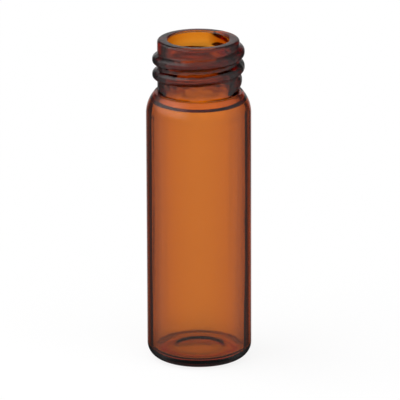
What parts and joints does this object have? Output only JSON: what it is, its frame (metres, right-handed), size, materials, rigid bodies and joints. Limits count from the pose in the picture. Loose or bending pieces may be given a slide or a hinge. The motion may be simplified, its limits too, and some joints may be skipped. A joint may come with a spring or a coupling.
{
  "type": "screw neck sample vial",
  "caption": "Small cylindrical amber glass sample vial with rounded shoulder, open mouth and external screw thread on the neck.",
  "frame": {"origin": "centre of the standing ring, on the plane that the vial stands on", "axes": "+Z along the vial's axis towards the mouth; the thread's lower end lies near -Y, +X"},
  "size_m": [0.0146, 0.0146, 0.0461],
  "materials": {
    "amber_glass": "clear polished amber borosilicate glass"
  },
  "bodies": {
    "root": {"glass_vial": "amber_glass"}
  },
  "joints": []
}
